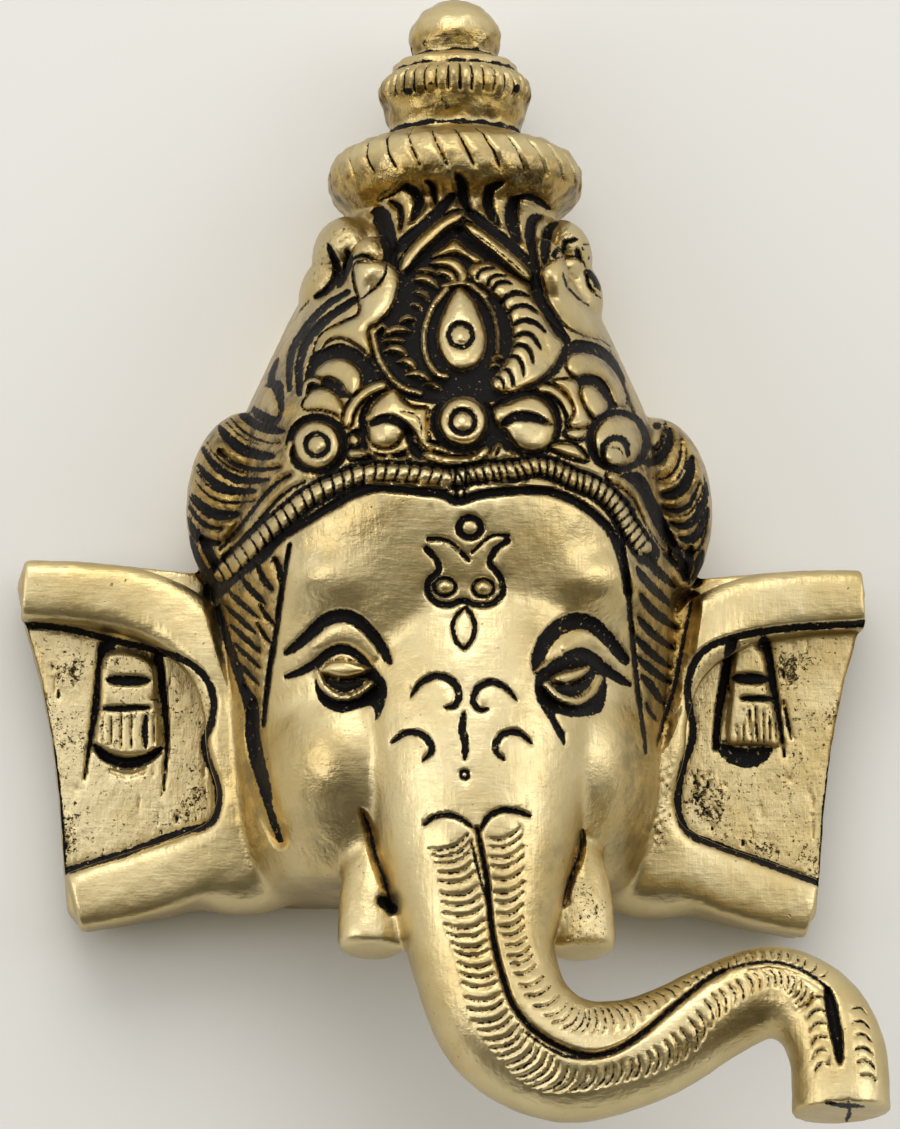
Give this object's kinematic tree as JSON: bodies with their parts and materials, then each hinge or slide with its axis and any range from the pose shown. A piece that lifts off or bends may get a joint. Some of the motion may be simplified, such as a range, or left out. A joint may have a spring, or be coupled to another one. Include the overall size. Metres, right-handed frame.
{
  "type": "ganesha mask",
  "caption": "Cast brass wall mask of an elephant-headed deity with a tiered crown, spread ears and a curled trunk, hollow at the back.",
  "frame": {"origin": "middle of the box on the back plane, which is the plane of the rim that lies on the table or against a wall", "axes": "+X across the face to the side where the trunk's tip is, +Y up from the trunk to the finial, +Z out of the wall"},
  "size_m": [0.109, 0.1484, 0.0493],
  "materials": {
    "brass": "polished cast brass, recesses blackened"
  },
  "bodies": {
    "root": {"ganesha_mask": "brass"}
  },
  "joints": []
}
